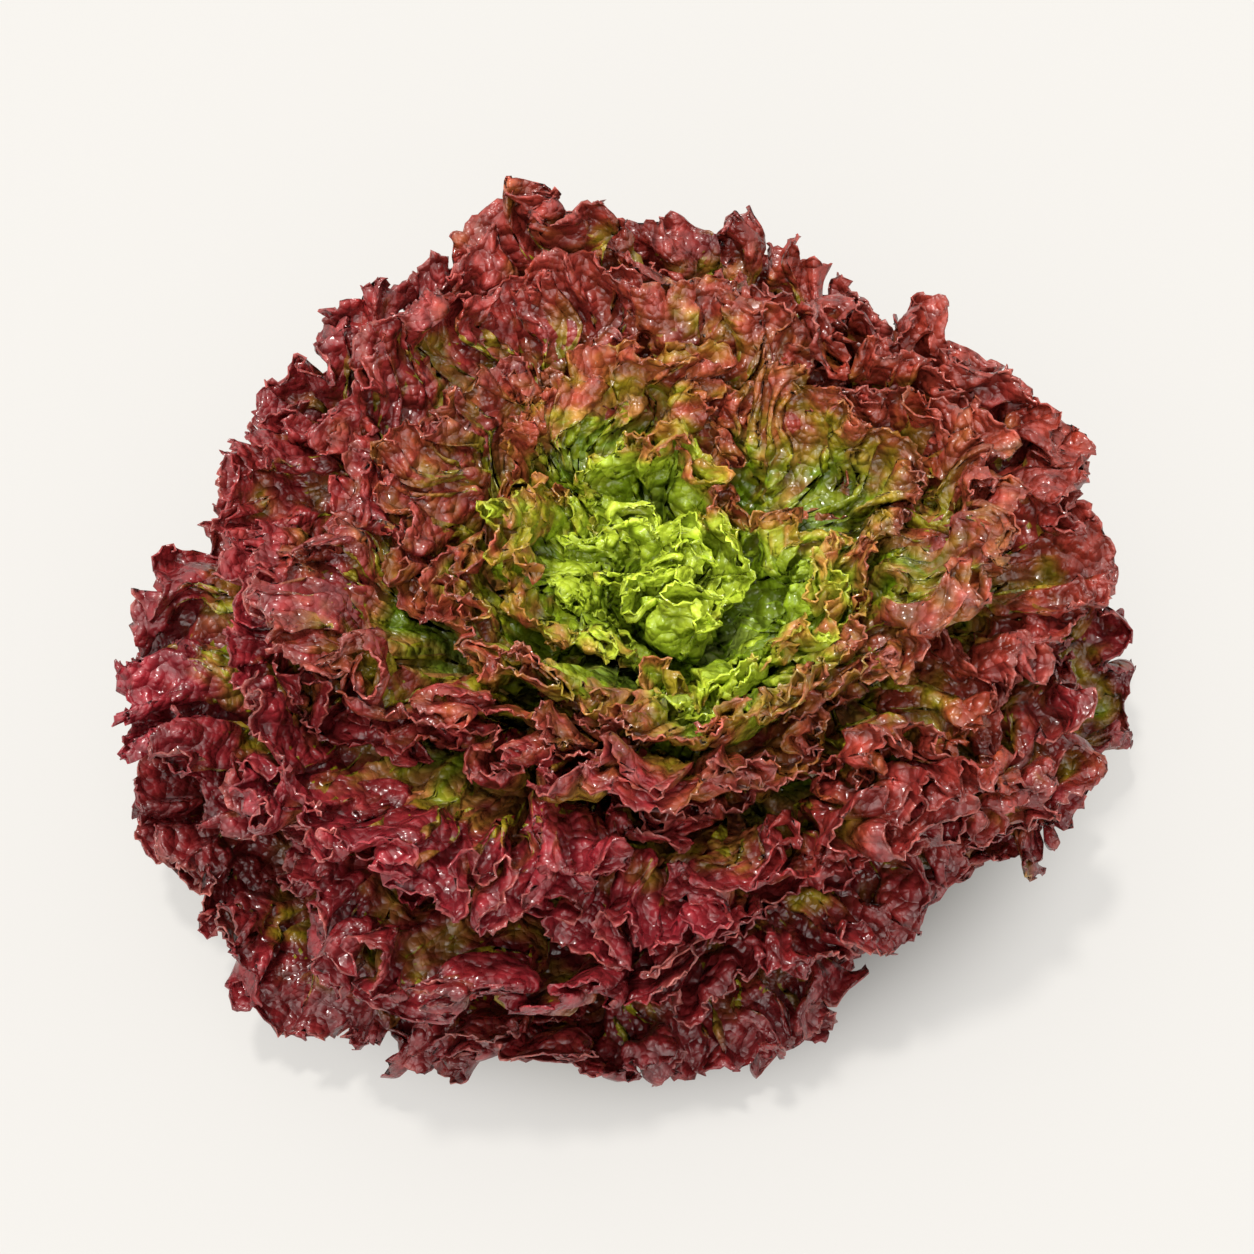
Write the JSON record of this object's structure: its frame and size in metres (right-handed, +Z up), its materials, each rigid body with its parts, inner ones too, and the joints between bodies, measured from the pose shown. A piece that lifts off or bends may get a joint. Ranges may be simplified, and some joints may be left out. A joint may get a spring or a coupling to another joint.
{
  "type": "frilled red loose-leaf lettuce head",
  "caption": "Open lettuce head with a spiral of strongly frilled leaves, lime green at the heart and dark red at the margins, resting on its cut stem.",
  "frame": {"origin": "centre of the stem's flat cut face, which the head rests on", "axes": "+Z up through the heart, away from the cut face; -Y towards the viewer of the picture"},
  "size_m": [0.2706, 0.2426, 0.1141],
  "materials": {
    "cut_stem": "pale, slightly moist cut stem",
    "heart_leaf": "lime green, crinkled, softly glossy",
    "inner_leaf": "lime green base with bronze and red margins, softly glossy",
    "middle_leaf": "red-brown to burgundy margins over an olive base, glossy",
    "outer_leaf": "deep burgundy to maroon, olive towards the rib, glossy"
  },
  "bodies": {
    "root": {"cut_stem": "cut_stem", "heart_leaf_01": "heart_leaf", "heart_leaf_02": "heart_leaf", "heart_leaf_03": "heart_leaf", "heart_leaf_04": "heart_leaf", "heart_leaf_05": "heart_leaf", "heart_leaf_06": "heart_leaf", "heart_leaf_07": "heart_leaf", "inner_leaf_01": "inner_leaf", "inner_leaf_02": "inner_leaf", "inner_leaf_03": "inner_leaf", "inner_leaf_04": "inner_leaf", "inner_leaf_05": "inner_leaf", "inner_leaf_06": "inner_leaf", "inner_leaf_07": "inner_leaf", "inner_leaf_08": "inner_leaf", "middle_leaf_01": "middle_leaf", "middle_leaf_02": "middle_leaf", "middle_leaf_03": "middle_leaf", "middle_leaf_04": "middle_leaf", "middle_leaf_05": "middle_leaf", "middle_leaf_06": "middle_leaf", "middle_leaf_07": "middle_leaf", "middle_leaf_08": "middle_leaf", "middle_leaf_09": "middle_leaf", "middle_leaf_10": "middle_leaf", "middle_leaf_11": "middle_leaf", "outer_leaf_01": "outer_leaf", "outer_leaf_02": "outer_leaf", "outer_leaf_03": "outer_leaf", "outer_leaf_04": "outer_leaf", "outer_leaf_05": "outer_leaf", "outer_leaf_06": "outer_leaf", "outer_leaf_07": "outer_leaf", "outer_leaf_08": "outer_leaf", "outer_leaf_09": "outer_leaf", "outer_leaf_10": "outer_leaf", "outer_leaf_11": "outer_leaf", "outer_leaf_12": "outer_leaf"}
  },
  "joints": []
}
